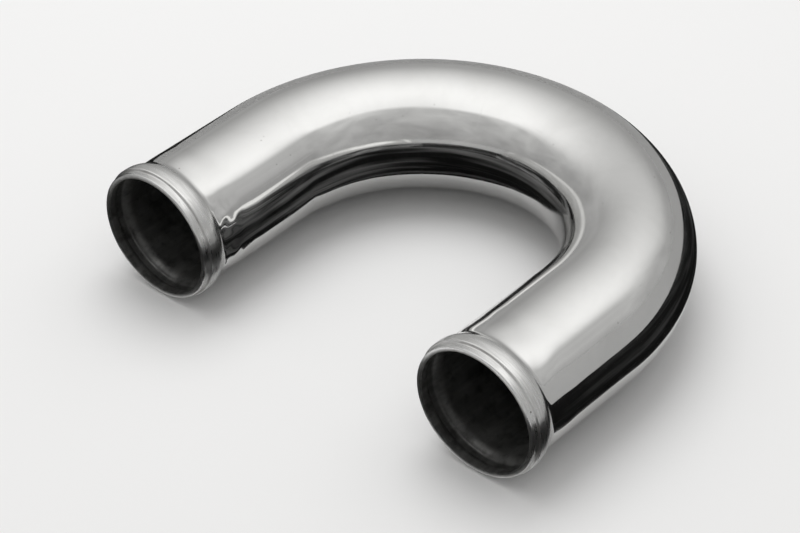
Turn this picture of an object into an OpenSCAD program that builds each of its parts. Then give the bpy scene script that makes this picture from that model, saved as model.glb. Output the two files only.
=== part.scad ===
// Return bend: one tube bent through half a turn, with a rolled hose bead at each end.
// It lies flat: X across the legs, +Y towards the bend, +Z up, origin under the middle of its outline.

/* [Tube] */
// Outside diameter of the tube
tube_od = 50.8; // [44:0.1:60]
// Thickness of the tube wall
wall = 2; // [1.5:0.1:2.5]

/* [Return bend] */
// Distance between the centrelines of the two legs
leg_spacing = 156; // [135:0.5:240]
// Length of each straight leg, from the bend to its end face
leg_length = 61; // [30:0.5:150]

/* [Rolled bead] */
// Length of the plain lip, from the end face to the foot of the bead
lip_length = 2.4; // [1.5:0.1:6]
// Height of the lip above the tube
lip_rise = 0.8; // [0.7:0.05:1.2]
// Height of the bead's crest above the tube
bead_rise = 1.8; // [1.5:0.05:1.9]
// Radius of the two curves in the bead's steep front
front_round = 0.6; // [0.55:0.05:1]
// Length of the bead's crest
crest_length = 3; // [2.5:0.1:8]
// Radius of the two curves in the long slope behind the crest
slope_round = 3.4; // [3:0.1:6]
// Radius of the front corner of the groove inside the bead
groove_round = 0.6; // [0.3:0.05:1]
// Radius of the rounded edges of each end face
edge_round = 0.5; // [0.2:0.05:0.9]

/* [Hidden] */
$fn = 128;
// How far a cutting shape runs past the face that it cuts
overcut = 1;
// Straight steps along each small arc of a profile
arc_steps = 6;

// Outside radii
tube_r = tube_od / 2;
lip_r = tube_r + lip_rise;
crest_r = tube_r + bead_rise;
bend_r = leg_spacing / 2;

// Radii inside, one wall below those outside
bore_r = tube_r - wall;
lip_bore_r = lip_r - wall;
groove_r = crest_r - wall;

// Stations along a leg, measured from its end face
step_rise = bead_rise - lip_rise;
crest_start = lip_length + ramp_length(step_rise, front_round, front_round);
crest_end = crest_start + crest_length;
groove_start = lip_length + ramp_length(step_rise, front_round + wall, groove_round);
slope_end = crest_end + ramp_length(bead_rise, slope_round, slope_round);

// Height of the tube's axis, and place of the bend's centre with half the outline on each side of the origin
axis_z = crest_r;
bend_y = (leg_length - bend_r - tube_r) / 2;

// A ramp is two tangent arcs. Its steepest slope, where they meet, and its length follow from its climb.
function ramp_angle(climb, foot_round, top_round) = acos(1 - climb / (foot_round + top_round));
function ramp_length(climb, foot_round, top_round) =
    (foot_round + top_round) * sin(ramp_angle(climb, foot_round, top_round));

// Points along an arc, after its first point
function arc(centre, r, from, to) =
    [for (i = [1 : arc_steps]) let (a = from + (to - from) * i / arc_steps) centre + r * [cos(a), sin(a)]];

// Profile points [distance from the axis, distance from the end face] up a ramp that starts at its foot
function ramp_up(foot, climb, foot_round, top_round) =
    let (slope = ramp_angle(climb, foot_round, top_round))
    let (top = foot + [climb, ramp_length(climb, foot_round, top_round)])
    concat(
        arc(foot + [foot_round, 0], foot_round, 180, 180 - slope),
        arc(top - [top_round, 0], top_round, -slope, 0)
    );

// The same down a ramp that starts at its top
function ramp_down(top, climb, top_round, foot_round) =
    let (slope = ramp_angle(climb, foot_round, top_round))
    let (foot = top + [-climb, ramp_length(climb, foot_round, top_round)])
    concat(
        arc(top - [top_round, 0], top_round, 0, slope),
        arc(foot + [foot_round, 0], foot_round, 180 + slope, 180)
    );

// Half section of a leg's outside, from the middle of its end face to the bend
function leg_outside() = concat(
    [[0, 0], [lip_r - edge_round, 0]],
    arc([lip_r - edge_round, edge_round], edge_round, -90, 0),
    [[lip_r, lip_length]],
    ramp_up([lip_r, lip_length], step_rise, front_round, front_round),
    [[crest_r, crest_end]],
    ramp_down([crest_r, crest_end], bead_rise, slope_round, slope_round),
    [[tube_r, leg_length], [0, leg_length]]
);

// Half section of the hollow in a leg: each bend of the wall is turned about the same centre as outside
function leg_hollow() = concat(
    [[0, -overcut], [lip_bore_r + edge_round, -overcut], [lip_bore_r + edge_round, 0]],
    arc([lip_bore_r + edge_round, edge_round], edge_round, 270, 180),
    [[lip_bore_r, lip_length]],
    ramp_up([lip_bore_r, lip_length], step_rise, front_round + wall, groove_round),
    [[groove_r, crest_end]],
    ramp_down([groove_r, crest_end], bead_rise, slope_round - wall, slope_round + wall),
    [[bore_r, leg_length], [0, leg_length]]
);

// Turns a half section about the axis of each leg, with its last station where the bend begins
module both_legs(half_section) {
    for (side = [-1, 1])
        translate([side * bend_r, 0, 0])
            rotate([-90, 0, 0])
                rotate_extrude()
                    polygon([for (p = half_section) p - [0, leg_length]]);
}

// Half turn of a round bar along the bend's centreline
module half_turn(r) {
    rotate_extrude(angle = 180)
        translate([bend_r, 0]) circle(r);
}

module return_bend() {
    color("silver")
        translate([0, bend_y, axis_z])
            difference() {
                union() {
                    half_turn(tube_r);
                    both_legs(leg_outside());
                }
                union() {
                    half_turn(bore_r);
                    both_legs(leg_hollow());
                }
            }
}

return_bend();
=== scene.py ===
import math

import bmesh
import bpy
from mathutils import Matrix, Vector, noise


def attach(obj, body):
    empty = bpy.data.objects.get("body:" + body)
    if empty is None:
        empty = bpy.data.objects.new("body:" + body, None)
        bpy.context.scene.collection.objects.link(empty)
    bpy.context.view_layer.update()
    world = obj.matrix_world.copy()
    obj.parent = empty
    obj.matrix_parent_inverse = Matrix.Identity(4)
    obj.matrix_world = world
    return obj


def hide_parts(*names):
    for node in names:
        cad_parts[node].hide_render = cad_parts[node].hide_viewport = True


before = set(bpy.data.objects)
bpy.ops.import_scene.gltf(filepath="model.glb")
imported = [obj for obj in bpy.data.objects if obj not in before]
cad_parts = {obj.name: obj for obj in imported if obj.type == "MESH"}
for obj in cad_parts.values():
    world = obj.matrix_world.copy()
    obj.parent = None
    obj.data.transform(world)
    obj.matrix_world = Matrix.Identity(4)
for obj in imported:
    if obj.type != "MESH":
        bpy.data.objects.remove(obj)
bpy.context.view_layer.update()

MM = 0.001

# Sizes of the tube, its lips and the steep front of its beads, the same as in the solid that it replaces
TUBE_R = 25.4 * MM
WALL = 2.0 * MM
BEND_R = 78.0 * MM
LEG_LENGTH = 61.0 * MM
LIP_LENGTH = 2.4 * MM
LIP_RISE = 0.8 * MM
EDGE_ROUND = 0.5 * MM
BEAD_RISE = 1.8 * MM
FRONT_ROUND = 0.6 * MM

# The bead's outside: a short crest that rolls off in one long curve, down to a tighter one at its foot
CREST_LENGTH = 2.2 * MM
CREST_ROUND = 9.0 * MM
FOOT_ROUND = 4.5 * MM

# The groove inside the bead, the same as in the solid, and how far behind the crest's start its floor ends
GROOVE_ROUND = 0.6 * MM
GROOVE_REACH = 3.0 * MM
GROOVE_END_ROUND = 1.4 * MM
GROOVE_FOOT_ROUND = 5.4 * MM

# Radii and places that follow from these
LIP_R = TUBE_R + LIP_RISE
CREST_R = TUBE_R + BEAD_RISE
BORE_R = TUBE_R - WALL
LIP_BORE_R = LIP_R - WALL
GROOVE_R = CREST_R - WALL
LIP_BORE_ROUND = FRONT_ROUND + WALL
AXIS_Z = CREST_R
BEND_Y = (LEG_LENGTH - BEND_R - TUBE_R) / 2
END_Y = BEND_Y - LEG_LENGTH
CROWN_Y = BEND_Y + BEND_R + TUBE_R
HALF_RUN = BEND_R * math.pi / 2 + LEG_LENGTH

# How finely the tube is turned and bent, and where extra rings hold its flat stretches flat
STEPS_AROUND = 176
STEPS_PER_QUARTER_BEND = 60
STEPS_PER_CORNER = 7
FINE_RING_STEP = 0.7 * MM
FINE_RINGS = 36
COARSE_RING_STEP = 2.5 * MM
HOLDING_GAP = 0.2 * MM
BORE_RINGS = (1 * MM, 10 * MM)
SAME_POINT = 0.0005 * MM
SAME_POINT_AT_SEAM = 0.002 * MM

# Unevenness of the tube's outside: its depth from crest to hollow, how many swells there are to a metre,
# and how far its pattern is slid along the tube
WAVE_DEPTH = 0.35 * MM
WAVES_PER_METRE = 22
RIPPLE_DEPTH = 0.6 * MM
RIPPLES_PER_METRE = 34
RIPPLE_WIDENING = 0.6
DENT_DEPTH = 1.5 * MM
DENTS_PER_METRE = 88
DENT_SHIFT = 1.4 * MM
PUCKER_DEPTH = 1.0 * MM
PUCKERS_PER_METRE = 240
PUCKER_SHIFT = 8.0 * MM

# Where the unevenness lies: each pair is the place where it is nil and the place where it is full.
# Along the tube it is measured from the end face, across it outwards or up from the axis, and at the crown
# inwards from the outline.
EVEN_END = 10.5 * MM
WAVES_BEGIN = (EVEN_END, 15.5 * MM)
CLEAR_OF_CROWN = (0.0, 3 * MM)
RIPPLES_INWARDS = (-8 * MM, -20 * MM)
RIPPLES_BEGIN = (40 * MM, 75 * MM)
CREASES_BELOW = (0.85 * TUBE_R, 0.45 * TUBE_R)
CREASES_INWARDS = (8 * MM, -8 * MM)
DENTS_END = (35.5 * MM, 17.5 * MM)
DENTS_OFF_CREASES = 0.4
PUCKERS_BEGIN = (EVEN_END, 12.5 * MM)
PUCKERS_END = (26.5 * MM, 13.5 * MM)

# Places of the finish and of the painted shade in the crease, as distances from the end face
SATIN_BEAD = (10.5 * MM, 7.0 * MM)
CREASE_BEGINS = (2.5 * MM, 2.8 * MM)
CREASE_ENDS = (3.2 * MM, 2.95 * MM)
PITS_BEGIN = 40 * MM
PITS_FULL = 8 * MM

# How many of each mark there are to a metre, and the share of the dots that show
CREASE_GAPS_PER_METRE = 70
HAZE_PER_METRE = 38
DRAWN_LINES_PER_METRE = 2600
RING_LINES_PER_METRE = 1500
LONG_SCRATCHES_PER_METRE = 1500
RING_SCRATCHES_PER_METRE = 900
PITS_PER_METRE = 160
SHARE_OF_PITS = 0.60
SPECKS_PER_METRE = 300
SHARE_OF_SPECKS = 0.14
BORE_GRAIN_PER_METRE = 120
BORE_STREAKS_PER_METRE = 260
BORE_BLOTCHES_PER_METRE = 210

# How lines are drawn out: the smaller a number, the longer they run that way, outwards, up or along the tube
ALONG_TUBE = (1.0, 1.0, 0.03)
ROUND_BEAD = (0.07, 0.07, 1.0)
LONG_SCRATCH = (1.0, 1.0, 0.025)
RING_SCRATCH = (0.05, 0.05, 1.0)
BORE_STREAK = (1.0, 1.0, 0.12)

# Where each noise pattern begins to show and where it shows in full
CREASE_SHOWS = (0.35, 0.62)
HAZE_DULLS = (0.30, 0.75)
HAZE_DARKENS = (0.35, 0.75)
DRAWN_LINES_DULL = (0.55, 0.80)
RING_LINES_DULL = (0.30, 0.70)
RING_LINES_DARKEN = (0.35, 0.65)
LONG_SCRATCHES_SHOW = (0.70, 0.76)
RING_SCRATCHES_SHOW = (0.72, 0.77)
BORE_GRAIN_DULLS = (0.30, 0.70)
BORE_STREAKS_DARKEN = (0.30, 0.70)
BORE_BLOTCHES_DARKEN = (0.45, 0.72)

# Radius of the dots at their faint edge and at their full middle, as a share of the gap between them
PIT_RADIUS = (0.075, 0.045)
SPECK_RADIUS = (0.12, 0.06)

# How strongly the fainter marks show
FAINTEST_CREASE = 0.15
SPECK_STRENGTH = 0.5
BLOTCH_STRENGTH = 0.7

# Roughness of the metal, from the clearest places to the dullest
BUFFED_ROUGHNESS = (0.05, 0.11)
SATIN_ROUGHNESS = (0.24, 0.40)
BORE_ROUGHNESS = (0.46, 0.66)
# Dullness of the pits, and of the crease where painted shade lies
CREASE_AND_PIT_ROUGHNESS = 0.5

# What fine lines and scratches add to it
DRAWN_LINE_ROUGHNESS = 0.05
SCRATCH_ROUGHNESS = 0.14

# Colours of the metal
BUFFED = (0.82, 0.82, 0.812, 1)
HAZY = (0.77, 0.77, 0.76, 1)
PALE_RING = (0.85, 0.85, 0.842, 1)
DARK_RING = (0.70, 0.70, 0.69, 1)
# Painted shade for the crease at the foot of the bead's front
CREASE_PAINTED_SHADE = (0.45, 0.44, 0.43, 1)
SPECK_DIRT = (0.42, 0.41, 0.40, 1)
PIT_DIRT = (0.20, 0.19, 0.18, 1)
PALE_BORE = (0.36, 0.36, 0.352, 1)
DARK_BORE = (0.24, 0.24, 0.235, 1)
BORE_BLOTCH = (0.12, 0.118, 0.114, 1)

# Strength and height of the lines that the finish alone shows in relief
RING_LINE_BUMP = (0.3, 0.03 * MM)
DRAWN_LINE_BUMP = (1.0, 0.003 * MM)

# A point belongs to the bore where its normal leans this much towards the axis
BORE_LEAN = 0.02

# The floor, and how far from the end face a bead rests on it
FLOOR_R = 25.0
FLOOR_STEPS = 96
FLOOR_SHADE = (0.84, 0.84, 0.84)
FLOOR_ROUGHNESS = 0.7
REST_FROM_END = 5 * MM

# Dark cards beside the tube, which the polished metal shows as a dark band, and a grey one further out
CARD_GAP = 7 * MM
INNER_CARD_GAP = 6 * MM
CARD_HEIGHT = 33 * MM
INNER_CARD_HEIGHT = 32 * MM
BEND_CARD_RISE = 8.5 * MM
LEFT_CARD_RISE = 18 * MM
CARD_STEPS = 64
FAR_CARD_R = 140 * MM
FAR_CARD_HEIGHT = 57 * MM
FAR_CARD_STEPS = 128
FAR_CARD_SHADE = (0.68, 0.68, 0.68)
CARD_ROUGHNESS = 0.9
FAINT_SHINE = 0.1
CLOTH_SHADE = 0.015
# Painted light on the flat cards: paler streaks along them, as of lit soft folds
OUTER_PAINTED_FOLD_LIGHT = 0.12
INNER_PAINTED_FOLD_LIGHT = 0.45
PAINTED_FOLDS_PER_METRE = 110
PAINTED_FOLDS_SHOW = (0.42, 0.72)
LEVEL_PAINTED_FOLD = (0.12, 0.12, 1.0)

# Where the outer card rises: in degrees round the bend, and in places beside the left leg, from nil to full
BEND_RISE_BEGINS = (-10, 50)
BEND_RISE_ENDS = (100, 60)
LEFT_RISE_OUTWARDS = (60 * MM, 108 * MM)
LEFT_RISE_TO_MOUTH = (45 * MM, -90 * MM)

# The light tent: the middle of its white ceiling, the way across its bright strip, and its levels of light
CEILING_MIDDLE = Vector((-0.256, 0.290, 0.922))
ACROSS_STRIP = Vector((0.7071, -0.7071, 0.0))
STRIP_LEVEL = 1.15
STRIP_EDGE_LEVEL = 0.30
WALL_LEVEL = 0.34
WALL_TOP_LEVEL = 0.50
GLOW_BELOW_STRIP = 0.26
TENT_FOLDS = 3.4
TENT_FOLDS_SHOW = (0.3, 0.7)
TENT_FOLD_LEVELS = (0.80, 1.12)
TENT_TINT = (1.0, 0.995, 0.985, 1)

# The ceiling's edge, which is softer on one side of the strip than on the other
SOFT_SIDE = -0.35
HARD_SIDE = 0.10
SOFT_EDGE = (0.48, 0.88)
HARD_EDGE = (0.60, 0.68)

# The lamp over the floor
LAMP_PLACE = (-0.35, 0.25, 1.1)
LAMP_SIZE = 0.9
LAMP_POWER = 5.0

# The camera
CAMERA_PLACE = Vector((0.5100, -0.6002, 0.6154))
CAMERA_AIM = Vector((0.0043, -0.0365, 0.027))
CAMERA_ROLL = math.radians(-1.2)
LENS = 117.0
SENSOR_WIDTH = 36.0


def ramp(climb, foot_round, top_round):
    """Slope and length of a ramp made of two arcs that meet where it is steepest."""
    slope = math.acos(1 - climb / (foot_round + top_round))
    return slope, (foot_round + top_round) * math.sin(slope)


def reach(rounding, turn):
    """Distance from the sharp point of a corner to the place where its arc begins."""
    return rounding * math.tan(turn / 2)


def plain(radius, station):
    """A corner of the wall with no rounding."""
    return (radius, station, 0.0, 0.0)


def outside_corners():
    """Corners of a leg's outside, from the bend to the lip's edge.

    A corner is its distance from the axis, its distance from the end face, its rounding and its turn.
    """
    front, front_length = ramp(BEAD_RISE - LIP_RISE, FRONT_ROUND, FRONT_ROUND)
    fall, fall_length = ramp(BEAD_RISE, FOOT_ROUND, CREST_ROUND)
    crest_start = LIP_LENGTH + front_length
    crest_end = crest_start + CREST_LENGTH
    foot = crest_end + fall_length
    fine_rings = [foot + FINE_RING_STEP * (1 + i) for i in range(FINE_RINGS)]
    rest = LEG_LENGTH - fine_rings[-1]
    coarse_count = round(rest / COARSE_RING_STEP)
    coarse_rings = [fine_rings[-1] + rest / coarse_count * (1 + i) for i in range(coarse_count)]
    return [
        *(plain(TUBE_R, station) for station in reversed(fine_rings + coarse_rings)),
        (TUBE_R, foot - reach(FOOT_ROUND, fall), FOOT_ROUND, fall),
        (CREST_R, crest_end + reach(CREST_ROUND, fall), CREST_ROUND, fall),
        plain(CREST_R, crest_end - HOLDING_GAP),
        plain(CREST_R, crest_start + HOLDING_GAP),
        (CREST_R, crest_start - reach(FRONT_ROUND, front), FRONT_ROUND, front),
        (LIP_R, LIP_LENGTH + reach(FRONT_ROUND, front), FRONT_ROUND, front),
        plain(LIP_R, LIP_LENGTH - HOLDING_GAP),
        plain(LIP_R, EDGE_ROUND + HOLDING_GAP),
        (LIP_R, 0.0, EDGE_ROUND, math.pi / 2),
    ]


def inside_corners():
    """Corners of a leg's inside, from the lip's edge to the bend."""
    step = BEAD_RISE - LIP_RISE
    crest_start = LIP_LENGTH + ramp(step, FRONT_ROUND, FRONT_ROUND)[1]
    front, front_length = ramp(step, LIP_BORE_ROUND, GROOVE_ROUND)
    fall, fall_length = ramp(BEAD_RISE, GROOVE_FOOT_ROUND, GROOVE_END_ROUND)
    groove_start = LIP_LENGTH + front_length
    groove_end = crest_start + GROOVE_REACH
    foot = groove_end + fall_length
    return [
        (LIP_BORE_R, 0.0, EDGE_ROUND, math.pi / 2),
        plain(LIP_BORE_R, EDGE_ROUND + HOLDING_GAP),
        plain(LIP_BORE_R, LIP_LENGTH - HOLDING_GAP),
        (LIP_BORE_R, LIP_LENGTH + reach(LIP_BORE_ROUND, front), LIP_BORE_ROUND, front),
        (GROOVE_R, groove_start - reach(GROOVE_ROUND, front), GROOVE_ROUND, front),
        plain(GROOVE_R, groove_end - HOLDING_GAP),
        (GROOVE_R, groove_end + reach(GROOVE_END_ROUND, fall), GROOVE_END_ROUND, fall),
        (BORE_R, foot - reach(GROOVE_FOOT_ROUND, fall), GROOVE_FOOT_ROUND, fall),
        *(plain(BORE_R, foot + distance) for distance in BORE_RINGS),
        plain(BORE_R, LEG_LENGTH),
    ]


def draw_wall(bm):
    """Draws the section of one leg's wall, with its corners rounded."""
    corners = outside_corners() + inside_corners()
    points = [bm.verts.new((BEND_R + radius, END_Y + station, AXIS_Z)) for radius, station, _, _ in corners]
    for here, there in zip(points, points[1:]):
        bm.edges.new((here, there))
    for point, (_, _, rounding, turn) in zip(points, corners):
        if rounding:
            bmesh.ops.bevel(
                bm, geom=[point], offset=reach(rounding, turn), offset_type="OFFSET", affect="VERTICES",
                segments=STEPS_PER_CORNER, profile=0.5, material=-1, clamp_overlap=False,
            )
    bmesh.ops.remove_doubles(bm, verts=bm.verts[:], dist=SAME_POINT)


def tube_mesh():
    """One leg turned about its axis, a quarter of the bend swept from it, and both mirrored across."""
    bm = bmesh.new()
    draw_wall(bm)
    bmesh.ops.spin(
        bm, geom=bm.verts[:] + bm.edges[:], cent=(BEND_R, 0, AXIS_Z), axis=(0, 1, 0),
        angle=2 * math.pi, steps=STEPS_AROUND, use_merge=True,
    )
    open_edges = [edge for edge in bm.edges if edge.is_boundary]
    bmesh.ops.spin(
        bm, geom=open_edges, cent=(0, BEND_Y, AXIS_Z), axis=(0, 0, 1),
        angle=math.pi / 2, steps=STEPS_PER_QUARTER_BEND, use_merge=False,
    )
    bmesh.ops.mirror(
        bm, geom=bm.verts[:] + bm.edges[:] + bm.faces[:], matrix=Matrix.Identity(4),
        merge_dist=SAME_POINT_AT_SEAM, axis="X",
    )
    bmesh.ops.remove_doubles(bm, verts=bm.verts[:], dist=SAME_POINT)
    bmesh.ops.recalc_face_normals(bm, faces=bm.faces[:])
    press_uneven(bm)
    for face in bm.faces:
        face.smooth = True
    return finished_mesh("polished_return_bend", bm)


def finished_mesh(name, bm):
    """Makes a mesh of a shape that is done."""
    mesh = bpy.data.meshes.new(name)
    bm.to_mesh(mesh)
    bm.free()
    return mesh


def straightened(point):
    """A point's place on the tube as if it were straight.

    X is outwards from the axis, away from the bend's centre, Y is up, and Z is along it from its crown.
    """
    x, y, z = point.x, point.y - BEND_Y, point.z - AXIS_Z
    if y > 0:
        return Vector((math.hypot(x, y) - BEND_R, z, BEND_R * math.atan2(x, y)))
    return Vector((abs(x) - BEND_R, z, math.copysign(BEND_R * math.pi / 2 - y, x)))


def slid(place, shift):
    """A place on the straightened tube, moved along it towards the nearer end."""
    return place + Vector((0, 0, math.copysign(shift, place.z)))


def smooth_step(value, nil, full):
    """A share from 0 to 1 as the value goes from nil to full, with a soft start and end."""
    share = min(max((value - nil) / (full - nil), 0.0), 1.0)
    return share * share * (3 - 2 * share)


def press_uneven(bm):
    """Waves, ripples inside the curve, dents and puckers by the beads, as bending and rolling leave them."""
    bm.normal_update()
    for vertex in bm.verts:
        place = straightened(vertex.co)
        from_end = HALF_RUN - abs(place.z)
        inside = math.hypot(place.x, place.y) < TUBE_R - WALL / 2
        if inside or from_end < EVEN_END:
            continue
        behind_bead = smooth_step(from_end, *WAVES_BEGIN)
        wavy = behind_bead * smooth_step(CROWN_Y - vertex.co.y, *CLEAR_OF_CROWN)
        rippled = smooth_step(place.x, *RIPPLES_INWARDS) * smooth_step(from_end, *RIPPLES_BEGIN)
        creased = smooth_step(place.y, *CREASES_BELOW) * smooth_step(place.x, *CREASES_INWARDS)
        dented = behind_bead * smooth_step(from_end, *DENTS_END)
        dented *= DENTS_OFF_CREASES + (1 - DENTS_OFF_CREASES) * creased
        puckered = creased * smooth_step(from_end, *PUCKERS_BEGIN) * smooth_step(from_end, *PUCKERS_END)
        widened = Vector((RIPPLE_WIDENING * place.x, RIPPLE_WIDENING * place.y, place.z))
        swell = wavy * WAVE_DEPTH * noise.noise(place * WAVES_PER_METRE)
        swell += rippled * RIPPLE_DEPTH * noise.noise(widened * RIPPLES_PER_METRE)
        swell += dented * DENT_DEPTH * noise.noise(slid(place, DENT_SHIFT) * DENTS_PER_METRE)
        swell += puckered * PUCKER_DEPTH * noise.noise(slid(place, PUCKER_SHIFT) * PUCKERS_PER_METRE)
        vertex.co += vertex.normal * swell / 2


def mark_places(mesh):
    """Keeps each point's place on the straightened tube, and whether it is in the bore."""
    mesh.attributes.new("place_on_tube", "FLOAT_VECTOR", "POINT")
    mesh.attributes.new("in_bore", "FLOAT", "POINT")
    places = mesh.attributes["place_on_tube"].data
    bores = mesh.attributes["in_bore"].data
    for i, vertex in enumerate(mesh.vertices):
        place = straightened(vertex.co)
        outward = Vector((vertex.co.x, max(vertex.co.y - BEND_Y, 0.0), 0)).normalized()
        from_axis = (outward * place.x + Vector((0, 0, place.y))).normalized()
        faces_axis = vertex.normal.dot(from_axis) < -BORE_LEAN
        places[i].vector = place
        bores[i].value = 1.0 if faces_axis else 0.0


class Nodes:
    """Lays out the nodes of one material or of the world."""

    # Colour sockets of a Mix node, which share their names with its other sockets
    COLOUR_A, COLOUR_B, COLOUR_RESULT = 6, 7, 2

    def __init__(self, tree):
        self.tree = tree

    def node(self, kind, inputs=None, **settings):
        made = self.tree.nodes.new(kind)
        for name, value in settings.items():
            setattr(made, name, value)
        for name, value in (inputs or {}).items():
            self.feed(made.inputs[name], value)
        return made

    def feed(self, socket, value):
        if isinstance(value, bpy.types.NodeSocket):
            self.tree.links.new(value, socket)
        else:
            socket.default_value = value

    def math(self, operation, a, b=0.0, c=0.0):
        return self.node("ShaderNodeMath", {0: a, 1: b, 2: c}, operation=operation).outputs[0]

    def fit(self, value, low, high, to_low=0.0, to_high=1.0, interpolation="SMOOTHSTEP"):
        """Carries a value from one range to another."""
        made = self.node(
            "ShaderNodeMapRange",
            {"Value": value, "From Min": low, "From Max": high, "To Min": to_low, "To Max": to_high},
            interpolation_type=interpolation,
        )
        return made.outputs["Result"]

    def evenly(self, value, low, high, to_low, to_high):
        """The same, with no soft start and end."""
        return self.fit(value, low, high, to_low, to_high, "LINEAR")

    def scaled(self, vector, scale):
        made = self.node("ShaderNodeVectorMath", {0: vector, 1: scale}, operation="MULTIPLY")
        return made.outputs["Vector"]

    def along(self, vector, way):
        made = self.node("ShaderNodeVectorMath", {0: vector, 1: way}, operation="DOT_PRODUCT")
        return made.outputs["Value"]

    def noise(self, vector, scale, detail=2.0, roughness=0.5, distortion=0.0):
        made = self.node(
            "ShaderNodeTexNoise",
            {
                "Vector": vector, "Scale": scale, "Detail": detail, "Roughness": roughness,
                "Distortion": distortion,
            },
        )
        return made.outputs[0]

    def dots(self, vector, scale):
        """Distance to the nearest of many scattered points, and that point's own random colour."""
        made = self.node("ShaderNodeTexVoronoi", {"Vector": vector, "Scale": scale, "Randomness": 1.0})
        colour = self.node("ShaderNodeSeparateColor", {0: made.outputs["Color"]})
        return made.outputs["Distance"], colour.outputs

    def blend(self, share, a, b):
        made = self.node("ShaderNodeMix", {"Factor": share, "A": a, "B": b}, data_type="FLOAT")
        return made.outputs["Result"]

    def blend_colour(self, share, a, b):
        made = self.node(
            "ShaderNodeMix", {"Factor": share, self.COLOUR_A: a, self.COLOUR_B: b}, data_type="RGBA",
        )
        return made.outputs[self.COLOUR_RESULT]

    def bump(self, height, strength, distance, normal=None):
        made = self.node("ShaderNodeBump", {"Height": height, "Strength": strength, "Distance": distance})
        if normal is not None:
            self.feed(made.inputs["Normal"], normal)
        return made.outputs["Normal"]


def new_material(name):
    """A new material, with a layout for its nodes and the inputs of its shader."""
    material = bpy.data.materials.new(name)
    material.use_nodes = True
    return material, Nodes(material.node_tree), material.node_tree.nodes["Principled BSDF"].inputs


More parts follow.
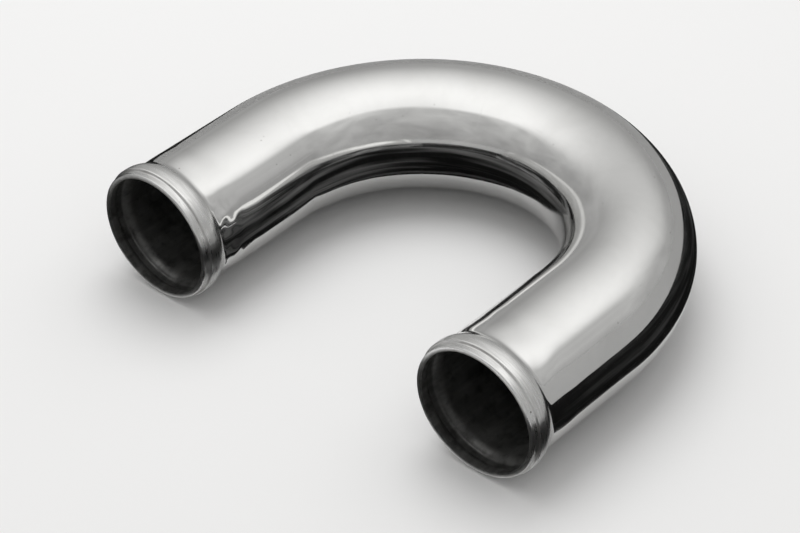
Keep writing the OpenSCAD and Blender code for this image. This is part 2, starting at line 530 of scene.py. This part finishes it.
def polished_aluminium():
    """Buffed metal with satin beads and a dull bore, all laid out along the straightened tube."""
    material, paint, shader = new_material("polished_aluminium")
    place = paint.node("ShaderNodeAttribute", attribute_name="place_on_tube").outputs["Vector"]
    bore = paint.node("ShaderNodeAttribute", attribute_name="in_bore").outputs["Fac"]
    along_tube = paint.node("ShaderNodeSeparateXYZ", {0: place}).outputs["Z"]
    from_end = paint.math("SUBTRACT", HALF_RUN, paint.math("ABSOLUTE", along_tube))

    # Where the bead is, and the crease at the foot of its front, which comes and goes and is darkened with
    # painted shade
    bead = paint.fit(from_end, *SATIN_BEAD)
    crease = paint.math("MULTIPLY", paint.fit(from_end, *CREASE_BEGINS), paint.fit(from_end, *CREASE_ENDS))
    crease_gaps = paint.noise(place, CREASE_GAPS_PER_METRE, roughness=0.6)
    crease = paint.math("MULTIPLY", crease, paint.fit(crease_gaps, *CREASE_SHOWS, FAINTEST_CREASE, 1.0))

    # Cloudy haze left by the buffing wheel, and fine lines and scratches along and around the tube
    haze = paint.noise(place, HAZE_PER_METRE, detail=4.0, roughness=0.6, distortion=0.4)
    drawn_lines = paint.noise(paint.scaled(place, ALONG_TUBE), DRAWN_LINES_PER_METRE, roughness=0.6)
    ring_lines = paint.noise(
        paint.scaled(place, ROUND_BEAD), RING_LINES_PER_METRE, detail=4.0, roughness=0.65,
    )
    long_scratches = paint.noise(paint.scaled(place, LONG_SCRATCH), LONG_SCRATCHES_PER_METRE, detail=1.0)
    ring_scratches = paint.noise(paint.scaled(place, RING_SCRATCH), RING_SCRATCHES_PER_METRE, detail=1.0)
    scratches = paint.math(
        "MAXIMUM",
        paint.fit(long_scratches, *LONG_SCRATCHES_SHOW),
        paint.fit(ring_scratches, *RING_SCRATCHES_SHOW),
    )

    # Small dark pits beside the beads, and fine specks all over
    from_pit, pit_draw = paint.dots(place, PITS_PER_METRE)
    pit_limit = paint.fit(from_end, PITS_BEGIN, PITS_FULL, 1.0, 1 - SHARE_OF_PITS)
    pit_kept = paint.math("GREATER_THAN", pit_draw[0], pit_limit)
    pit = paint.math("MULTIPLY", paint.fit(from_pit, *PIT_RADIUS), pit_kept)
    from_speck, speck_draw = paint.dots(place, SPECKS_PER_METRE)
    speck_kept = paint.math("GREATER_THAN", speck_draw[1], 1 - SHARE_OF_SPECKS)
    speck = paint.math("MULTIPLY", paint.fit(from_speck, *SPECK_RADIUS), speck_kept)

    # How mirror-like each place is
    roughness = paint.fit(haze, *HAZE_DULLS, *BUFFED_ROUGHNESS)
    line_roughness = paint.fit(drawn_lines, *DRAWN_LINES_DULL, 0.0, DRAWN_LINE_ROUGHNESS)
    roughness = paint.math("ADD", roughness, line_roughness)
    roughness = paint.math("ADD", roughness, paint.math("MULTIPLY", scratches, SCRATCH_ROUGHNESS))
    roughness = paint.blend(bead, roughness, paint.fit(ring_lines, *RING_LINES_DULL, *SATIN_ROUGHNESS))
    roughness = paint.blend(paint.math("MAXIMUM", crease, pit), roughness, CREASE_AND_PIT_ROUGHNESS)
    bore_grain = paint.noise(place, BORE_GRAIN_PER_METRE, detail=4.0, roughness=0.6)
    roughness = paint.blend(bore, roughness, paint.fit(bore_grain, *BORE_GRAIN_DULLS, *BORE_ROUGHNESS))

    # Colour of the outside
    bright = paint.blend_colour(paint.fit(haze, *HAZE_DARKENS), BUFFED, HAZY)
    worn = paint.blend_colour(paint.fit(ring_lines, *RING_LINES_DARKEN), PALE_RING, DARK_RING)
    bright = paint.blend_colour(bead, bright, worn)
    # Painted shade darkens the crease at the foot of the bead's front
    bright = paint.blend_colour(crease, bright, CREASE_PAINTED_SHADE)
    bright = paint.blend_colour(paint.math("MULTIPLY", speck, SPECK_STRENGTH), bright, SPECK_DIRT)
    bright = paint.blend_colour(pit, bright, PIT_DIRT)

    # Colour of the bore, streaked along the tube and blotched
    streaks = paint.noise(
        paint.scaled(place, BORE_STREAK), BORE_STREAKS_PER_METRE, detail=4.0, roughness=0.6,
    )
    blotches = paint.noise(place, BORE_BLOTCHES_PER_METRE, detail=4.0, roughness=0.65)
    dull = paint.blend_colour(paint.fit(streaks, *BORE_STREAKS_DARKEN), PALE_BORE, DARK_BORE)
    blotched = paint.fit(blotches, *BORE_BLOTCHES_DARKEN, 0.0, BLOTCH_STRENGTH)
    dull = paint.blend_colour(blotched, dull, BORE_BLOTCH)

    # Lines in relief
    normal = paint.bump(paint.math("MULTIPLY", ring_lines, bead), *RING_LINE_BUMP)
    normal = paint.bump(drawn_lines, *DRAWN_LINE_BUMP, normal)

    paint.feed(shader["Base Color"], paint.blend_colour(bore, bright, dull))
    paint.feed(shader["Roughness"], roughness)
    paint.feed(shader["Normal"], normal)
    shader["Metallic"].default_value = 1.0
    return material


def plain_paint(name, colour, roughness):
    """An even, hardly shining paint for the floor and the grey card."""
    material, _, shader = new_material(name)
    shader["Base Color"].default_value = (*colour, 1)
    shader["Roughness"].default_value = roughness
    shader["Specular IOR Level"].default_value = FAINT_SHINE
    return material


def dark_cloth_with_painted_folds(name, painted_fold_light):
    """Black cloth for the cards, with paler streaks along it, painted light as of soft folds."""
    material, paint, shader = new_material(name)
    here = paint.node("ShaderNodeTexCoord").outputs["Object"]
    level = paint.scaled(here, LEVEL_PAINTED_FOLD)
    # The folds are painted light: paler streaks on the flat card
    folds = paint.noise(level, PAINTED_FOLDS_PER_METRE, detail=3.0, roughness=0.6, distortion=0.3)
    shade = paint.fit(folds, *PAINTED_FOLDS_SHOW, CLOTH_SHADE, painted_fold_light)
    grey = paint.node("ShaderNodeCombineColor", {"Red": shade, "Green": shade, "Blue": shade}).outputs[0]
    paint.feed(shader["Base Color"], grey)
    shader["Roughness"].default_value = CARD_ROUGHNESS
    shader["Specular IOR Level"].default_value = FAINT_SHINE
    return material


def show(name, mesh, material):
    """Puts a mesh with its material into the scene."""
    piece = bpy.data.objects.new(name, mesh)
    mesh.materials.append(material)
    bpy.context.scene.collection.objects.link(piece)
    return piece


def make_tube():
    """The bent tube, finer than the solid that it stands for."""
    mesh = tube_mesh()
    mark_places(mesh)
    tube = show("polished_return_bend", mesh, polished_aluminium())
    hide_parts("return_bend")
    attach(tube, "root")


def make_floor():
    """A pale floor that touches both beads and the underside of the bend."""
    bm = bmesh.new()
    bmesh.ops.create_circle(bm, cap_ends=True, segments=FLOOR_STEPS, radius=FLOOR_R)
    bead_y = END_Y + REST_FROM_END
    slope = math.atan2(BEAD_RISE, BEND_Y + BEND_R - bead_y)
    bmesh.ops.rotate(bm, verts=bm.verts[:], cent=(0, bead_y, 0), matrix=Matrix.Rotation(slope, 3, "X"))
    paint = plain_paint("pale_floor", FLOOR_SHADE, FLOOR_ROUGHNESS)
    floor = show("floor", finished_mesh("floor", bm), paint)


def raise_card(bm, foot, height):
    """Starts a low upright card from one place on the floor, as a single upright edge."""
    low = bm.verts.new((*foot, 0))
    high = bm.verts.new((*foot, height))
    return bm.edges.new((low, high))


def draw_card_on(bm, edge, along):
    """Draws a card on from one upright edge, straight along the floor."""
    made = bmesh.ops.extrude_edge_only(bm, edges=[edge])["geom"]
    bmesh.ops.translate(bm, verts=[v for v in made if isinstance(v, bmesh.types.BMVert)], vec=(*along, 0))


def raise_bent_card(bm, radius, height):
    """A card that follows the tube at one side of it: round the bend and along both legs."""
    start = raise_card(bm, (radius, BEND_Y), height)
    bent = bmesh.ops.spin(
        bm, geom=[*start.verts, start], cent=(0, BEND_Y, 0), axis=(0, 0, 1), angle=math.pi, steps=CARD_STEPS,
        use_merge=False,
    )["geom_last"]
    for edge in [start] + [e for e in bent if isinstance(e, bmesh.types.BMEdge)]:
        draw_card_on(bm, edge, (0, -LEG_LENGTH - CARD_GAP))


def outer_card_rise(top):
    """How far a place on the outer card's top edge stands above the rest of it."""
    turned = math.degrees(math.atan2(top.y - BEND_Y, top.x))
    by_bend = smooth_step(turned, *BEND_RISE_BEGINS) * smooth_step(turned, *BEND_RISE_ENDS)
    by_left_leg = smooth_step(-top.x, *LEFT_RISE_OUTWARDS) * smooth_step(top.y, *LEFT_RISE_TO_MOUTH)
    return BEND_CARD_RISE * by_bend + LEFT_CARD_RISE * by_left_leg


def make_outer_card():
    """A dark card round the outside of the bend, along its legs and before its mouths."""
    bm = bmesh.new()
    half_width = BEND_R + TUBE_R + CARD_GAP
    raise_bent_card(bm, half_width, CARD_HEIGHT)
    for vertex in bm.verts:
        if vertex.co.z > 0:
            vertex.co.z += outer_card_rise(vertex.co)
    front = raise_card(bm, (-half_width, END_Y - CARD_GAP), CARD_HEIGHT)
    draw_card_on(bm, front, (2 * half_width, 0))
    show_card("outer_card", bm, dark_cloth_with_painted_folds("dark_cloth_with_painted_folds", OUTER_PAINTED_FOLD_LIGHT))


def make_inner_card():
    """A dark card inside the bend and along the inner side of its legs."""
    bm = bmesh.new()
    raise_bent_card(bm, BEND_R - TUBE_R - INNER_CARD_GAP, INNER_CARD_HEIGHT)
    show_card("inner_card", bm, dark_cloth_with_painted_folds("cloth_with_painted_folds", INNER_PAINTED_FOLD_LIGHT))


def make_far_card():
    """A grey ring further out, which hides the line between the floor and the light tent."""
    bm = bmesh.new()
    start = raise_card(bm, (FAR_CARD_R, BEND_Y), FAR_CARD_HEIGHT)
    bmesh.ops.spin(
        bm, geom=[*start.verts, start], cent=(0, BEND_Y, 0), axis=(0, 0, 1), angle=2 * math.pi,
        steps=FAR_CARD_STEPS, use_merge=True,
    )
    show_card("far_card", bm, plain_paint("grey_card", FAR_CARD_SHADE, CARD_ROUGHNESS))


def show_card(name, bm, material):
    """Shows a card to the polished metal only, so that it throws no shadow on the floor."""
    card = show(name, finished_mesh(name, bm), material)
    card.visible_camera = False
    card.visible_diffuse = False
    card.visible_shadow = False


def make_light_tent():
    """Grey walls with soft folds, which glow below the strip, under a white ceiling with a bright strip."""
    world = bpy.data.worlds.new("light_tent")
    bpy.context.scene.world = world
    world.use_nodes = True
    tent = Nodes(world.node_tree)
    direction = tent.node("ShaderNodeTexCoord").outputs["Generated"]
    height = tent.node("ShaderNodeSeparateXYZ", {0: direction}).outputs["Z"]
    across = tent.along(direction, ACROSS_STRIP)
    off_strip = tent.math("MULTIPLY", across, across)

    glow = tent.evenly(off_strip, 0.0, 1.0, GLOW_BELOW_STRIP, 0.0)
    wall = tent.evenly(height, 0.0, 1.0, WALL_LEVEL, WALL_TOP_LEVEL)
    wall = tent.math("MULTIPLY_ADD", glow, height, wall)
    folds = tent.noise(direction, TENT_FOLDS, detail=3.0, distortion=0.5)
    wall = tent.math("MULTIPLY", wall, tent.evenly(folds, *TENT_FOLDS_SHOW, *TENT_FOLD_LEVELS))

    strip = tent.evenly(off_strip, 0.0, 1.0, STRIP_LEVEL, STRIP_EDGE_LEVEL)
    edge_starts = tent.evenly(across, SOFT_SIDE, HARD_SIDE, SOFT_EDGE[0], HARD_EDGE[0])
    edge_ends = tent.evenly(across, SOFT_SIDE, HARD_SIDE, SOFT_EDGE[1], HARD_EDGE[1])
    ceiling = tent.fit(tent.along(direction, CEILING_MIDDLE), edge_starts, edge_ends)

    background = world.node_tree.nodes["Background"].inputs
    tent.feed(background["Strength"], tent.blend(ceiling, wall, strip))
    background["Color"].default_value = TENT_TINT


def make_lamp():
    """A soft lamp for the floor, which the metal doesn't show."""
    lamp = bpy.data.lights.new("overhead", "AREA")
    lamp.shape = "DISK"
    lamp.size = LAMP_SIZE
    lamp.energy = LAMP_POWER
    overhead = bpy.data.objects.new("overhead", lamp)
    overhead.location = LAMP_PLACE
    overhead.rotation_euler = (-Vector(LAMP_PLACE)).to_track_quat("-Z", "Y").to_euler()
    overhead.visible_glossy = False
    bpy.context.scene.collection.objects.link(overhead)


def make_camera():
    """The camera looks down on the bend from before its mouths, with a slight roll."""
    lens = bpy.data.cameras.new("camera")
    lens.lens = LENS
    lens.sensor_width = SENSOR_WIDTH
    camera = bpy.data.objects.new("camera", lens)
    camera.location = CAMERA_PLACE
    level = (CAMERA_AIM - CAMERA_PLACE).to_track_quat("-Z", "Y").to_matrix()
    camera.rotation_euler = (level @ Matrix.Rotation(CAMERA_ROLL, 3, "Z")).to_euler()
    bpy.context.scene.collection.objects.link(camera)
    bpy.context.scene.camera = camera


make_tube()
make_floor()
make_outer_card()
make_inner_card()
make_far_card()
make_light_tent()
make_lamp()
make_camera()
bpy.context.scene.view_settings.view_transform = "Standard"
